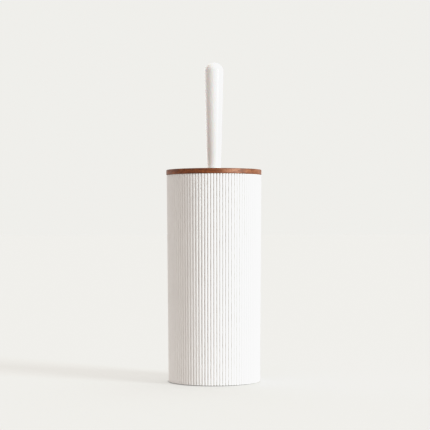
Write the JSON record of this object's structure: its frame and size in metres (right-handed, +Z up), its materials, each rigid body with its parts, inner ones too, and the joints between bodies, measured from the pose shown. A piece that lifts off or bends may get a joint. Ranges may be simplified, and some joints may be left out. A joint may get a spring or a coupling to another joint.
{
  "type": "toilet brush holder",
  "caption": "Round ribbed toilet brush holder with a flush wooden lid, an upright tapered grip, a lift-out liner and a brush with a screw-on head.",
  "frame": {"origin": "on the floor at the centre of the feet, on the axis of the cup, lid, handle and brush", "axes": "+Z up along that axis; the object is round, so +X is only the direction of the collar's set screw"},
  "size_m": [0.11, 0.11, 0.368],
  "materials": {
    "shell": "matte white moulded resin",
    "foot_rubber": "matt soft rubber",
    "liner": "satin moulded polypropylene",
    "lid_wood": "oiled reddish-brown hardwood with fine grain",
    "fittings": "satin moulded nylon",
    "grip": "semi-gloss white moulding",
    "steel": "brushed stainless steel",
    "brass": "turned brass",
    "seal_rubber": "matt black rubber",
    "hub": "smooth white moulding",
    "bristles": "fine white filaments"
  },
  "bodies": {
    "holder": {"holder_shell": "shell", "rubber_feet": "foot_rubber"},
    "liner": {"liner_cup": "liner"},
    "lid": {"lid_disc": "lid_wood", "lid_locator": "fittings", "locator_screws": "steel", "lid_bush": "fittings"},
    "handle": {"grip": "grip", "grip_insert": "brass", "upper_stud": "steel", "rod_tube": "steel", "thrust_washer": "fittings", "stop_collar": "steel", "collar_screw": "steel", "lower_stud": "fittings"},
    "seal": {"head_washer": "seal_rubber"},
    "head": {"head_hub": "hub", "hub_insert": "brass", "bristles_side": "bristles", "bristles_tip": "bristles"}
  },
  "joints": [
    {"name": "liner_lift", "type": "slide", "parent": "holder", "child": "liner", "axis": [0, 0, 1], "range_m": [0, 0.27]},
    {"name": "brush_lift", "type": "slide", "parent": "liner", "child": "lid", "axis": [0, 0, 1], "range_m": [0, 0.25]},
    {"name": "handle_spin", "type": "hinge", "parent": "lid", "child": "handle", "pos_m": [0, 0, 0.241], "axis": [0, 0, 1], "continuous": true},
    {"name": "head_travel", "type": "slide", "parent": "handle", "child": "seal", "axis": [0, 0, -1], "range_m": [0, 0.01201]},
    {"name": "head_unscrew", "type": "hinge", "parent": "seal", "child": "head", "pos_m": [0, 0, 0.1], "axis": [0, 0, -1], "range_deg": [0, 1080]}
  ],
  "couplings": [
    {"joint": "head_travel", "follows": "head_unscrew", "m_per_rad": 0.00063662}
  ]
}
